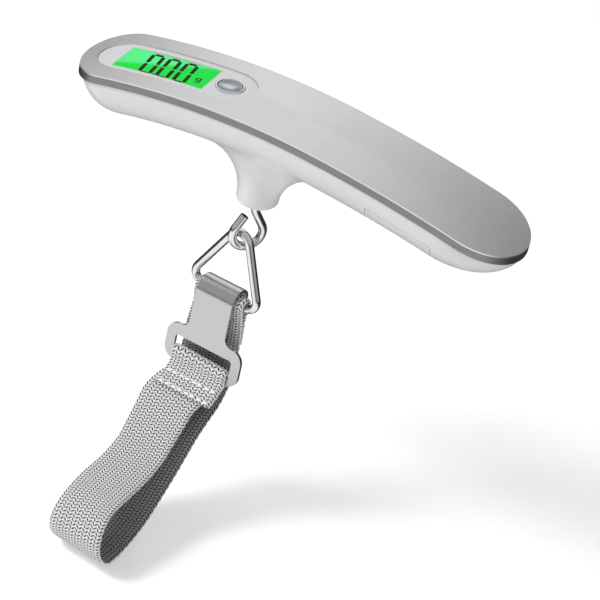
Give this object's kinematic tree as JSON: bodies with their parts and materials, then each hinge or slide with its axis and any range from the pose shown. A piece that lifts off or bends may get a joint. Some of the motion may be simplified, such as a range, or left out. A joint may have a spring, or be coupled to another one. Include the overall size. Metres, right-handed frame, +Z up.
{
  "type": "hanging luggage scale",
  "caption": "Arched hand-held scale with a display window, push button, turning hook, triangular ring, pressed buckle and a doubled webbing strap",
  "frame": {"origin": "on the top plate, on the axis of the neck and the hook's shank", "axes": "+X along the handle towards its battery end, -Y towards the person reading the display, +Z up against gravity along the neck's axis"},
  "size_m": [0.1579, 0.0855, 0.1521],
  "materials": {
    "plate_metal": "brushed, satin",
    "dark_plastic": "satin",
    "white_plastic": "soft gloss",
    "clear_lens": "clear",
    "panel_print": "printed, satin",
    "lcd": "green backlit glass",
    "light_guide": "translucent",
    "rubber": "matte",
    "circuit_board": "solder mask",
    "chrome": "polished",
    "satin_steel": "satin nickel plate",
    "zinc_steel": "zinc plated",
    "beam_metal": "milled",
    "gauge_film": "amber film",
    "bush_plastic": "natural",
    "cell_steel": "bright",
    "spring_steel": "bright",
    "lead_jacket": "flexible",
    "webbing": "woven polyester"
  },
  "bodies": {
    "handle": {"top_plate": "plate_metal", "upper_frame": "dark_plastic", "lower_housing": "white_plastic", "housing_screws": "zinc_steel", "window_lens": "clear_lens", "display_panel": "panel_print", "lcd_glass": "lcd", "backlight_panel": "light_guide", "zebra_strips": "rubber", "main_board": "circuit_board", "controller_chip": "dark_plastic", "board_screws": "zinc_steel", "tact_switch": "dark_plastic", "button_ring": "chrome", "load_cell": "beam_metal", "beam_screws": "zinc_steel", "strain_gauges": "gauge_film", "thrust_washer": "zinc_steel", "neck_bush": "bush_plastic", "battery_tray": "dark_plastic", "coin_cell": "cell_steel", "contact_negative": "spring_steel", "contact_positive": "spring_steel", "gauge_flex": "gauge_film", "battery_leads": "lead_jacket"},
    "button": {"power_button": "chrome"},
    "door": {"battery_door": "white_plastic"},
    "hook": {"hook": "chrome", "hook_nut": "zinc_steel"},
    "ring": {"triangle_ring": "chrome"},
    "strap": {"strap_bar_loop": "webbing", "strap_back_run": "webbing", "strap_bottom_bend": "webbing", "strap_front_run": "webbing"},
    "buckle": {"buckle_plate": "satin_steel", "strap_eye": "webbing", "strap_flap": "webbing"}
  },
  "joints": [
    {"name": "button_press", "type": "slide", "parent": "handle", "child": "button", "axis": [0.0671, 0, -0.9977], "range_m": [0, 0.0006], "stiffness_N_per_m": 1500},
    {"name": "door_slide", "type": "slide", "parent": "handle", "child": "door", "axis": [-0.1589, 0, -0.9873], "range_m": [0, 0.02]},
    {"name": "hook_swivel", "type": "hinge", "parent": "handle", "child": "hook", "pos_m": [0, 0, -0.03], "axis": [0, 0, 1], "continuous": true},
    {"name": "ring_swing", "type": "hinge", "parent": "hook", "child": "ring", "pos_m": [-0.00058, -0.00069, -0.0496], "axis": [-0.766, 0.6428, 0], "range_deg": [-30, 30]},
    {"name": "strap_swing", "type": "hinge", "parent": "ring", "child": "strap", "pos_m": [-0.00348, -0.00295, -0.07495], "axis": [0.9906, -0.1251, -0.0557], "range_deg": [-60, 45]},
    {"name": "buckle_lift", "type": "slide", "parent": "strap", "child": "buckle", "axis": [-0.0327, 0.0917, 0.9952], "range_m": [0, 0.004]}
  ]
}
